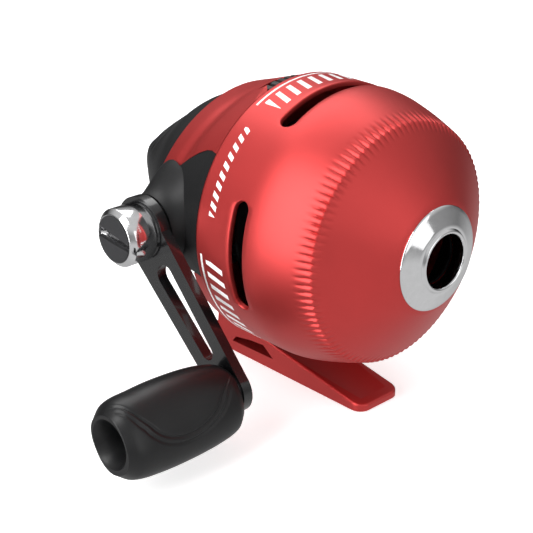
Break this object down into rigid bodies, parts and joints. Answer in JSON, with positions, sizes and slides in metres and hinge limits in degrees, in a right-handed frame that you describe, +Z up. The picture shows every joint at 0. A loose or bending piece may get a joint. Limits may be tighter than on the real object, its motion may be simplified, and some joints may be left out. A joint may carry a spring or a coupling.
{
  "type": "spincast fishing reel",
  "caption": "Closed-face spincast reel with a metal nose cover, thumb button, top drag dial, rod foot and a crank with a paddle knob.",
  "frame": {"origin": "centre of the underside of the rod foot", "axes": "+X along the spool axis towards the line hole, +Y to the angler's left, +Z up away from the rod; the crank is on the -Y side"},
  "size_m": [0.097, 0.1077, 0.0786],
  "materials": {
    "red_cover": "satin red anodised",
    "red_body": "satin red with a metallic coat",
    "chrome": "polished",
    "steel": "bright drawn steel",
    "inner_rubber": "soft matt",
    "black_plastic": "fine matt grain",
    "button_black": "fine matt grain",
    "dial_grey": "moulded, matt",
    "spool_plastic": "moulded, matt",
    "spinner_dark": "dark plated",
    "brass": "machined",
    "bush_plastic": "natural acetal",
    "zinc_gear": "die-cast zinc",
    "arm_black": "gloss black",
    "nut_face": "dark textured",
    "knob_rubber": "soft matt"
  },
  "bodies": {
    "frame": {"front_cover": "red_cover", "nose_ring": "chrome", "line_brake_ring": "inner_rubber", "cover_o_ring": "inner_rubber", "body_frame": "red_body", "top_shell": "red_body", "side_plate_right": "black_plastic", "side_plate_left": "black_plastic", "deck_screws": "steel", "button_pin": "steel", "drag_dial_pin": "steel", "drag_spring": "steel", "spool_clip": "steel", "pinion_bushing": "bush_plastic", "crank_bushing": "bush_plastic", "pawl_pin": "steel"},
    "crank": {"drive_gear": "zinc_gear", "drive_shaft": "steel", "ratchet_wheel": "steel", "crank_washer": "steel", "crank_arm": "arm_black", "crank_nut": "chrome", "nut_insert": "nut_face", "knob_rivet": "steel", "knob_washer": "steel"},
    "grip": {"knob": "knob_rubber"},
    "pinion_drive": {"pinion": "brass", "pinion_clip": "steel"},
    "spinner": {"centre_shaft": "steel", "shaft_clip": "steel", "shaft_return_spring": "steel", "spinner_head": "spinner_dark", "spinner_nut": "steel", "pickup_spring": "steel"},
    "pickup": {"pickup_pin": "steel"},
    "button": {"thumb_button": "button_black"},
    "dial": {"drag_dial": "dial_grey"},
    "line_spool": {"spool": "spool_plastic"},
    "pawl": {"anti_reverse_pawl": "steel"}
  },
  "joints": [
    {"name": "crank_spin", "type": "hinge", "parent": "frame", "child": "crank", "pos_m": [-0.0144, -0.03, 0.0445], "axis": [0, 1, 0], "continuous": true},
    {"name": "knob_spin", "type": "hinge", "parent": "crank", "child": "grip", "pos_m": [0.01664, -0.055, 0.01346], "axis": [0, 1, 0], "continuous": true},
    {"name": "pinion_spin", "type": "hinge", "parent": "frame", "child": "pinion_drive", "pos_m": [0, 0, 0.0445], "axis": [1, 0, 0], "continuous": true},
    {"name": "shaft_slide", "type": "slide", "parent": "pinion_drive", "child": "spinner", "axis": [1, 0, 0], "range_m": [0, 0.0021], "stiffness_N_per_m": 400, "springref_m": -0.002},
    {"name": "pickup_slide", "type": "slide", "parent": "spinner", "child": "pickup", "axis": [0, 0, 1], "range_m": [-0.0016, 0]},
    {"name": "button_press", "type": "hinge", "parent": "frame", "child": "button", "pos_m": [-0.026, 0, 0.0335], "axis": [0, 1, 0], "range_deg": [0, 15]},
    {"name": "drag_dial_turn", "type": "hinge", "parent": "frame", "child": "dial", "pos_m": [-0.002, 0, 0.0561], "axis": [1, 0, 0], "range_deg": [-20, 20]},
    {"name": "spool_spin", "type": "hinge", "parent": "frame", "child": "line_spool", "pos_m": [0.01, 0, 0.0445], "axis": [1, 0, 0], "continuous": true},
    {"name": "pawl_swing", "type": "hinge", "parent": "frame", "child": "pawl", "pos_m": [-0.00556, -0.0095, 0.05334], "axis": [0, 1, 0], "range_deg": [-14, 3]}
  ],
  "couplings": [
    {"joint": "pinion_spin", "follows": "crank_spin", "ratio": 4.1},
    {"joint": "button_press", "follows": "shaft_slide", "rad_per_m": 124.6},
    {"joint": "pickup_slide", "follows": "shaft_slide", "ratio": -0.76}
  ]
}
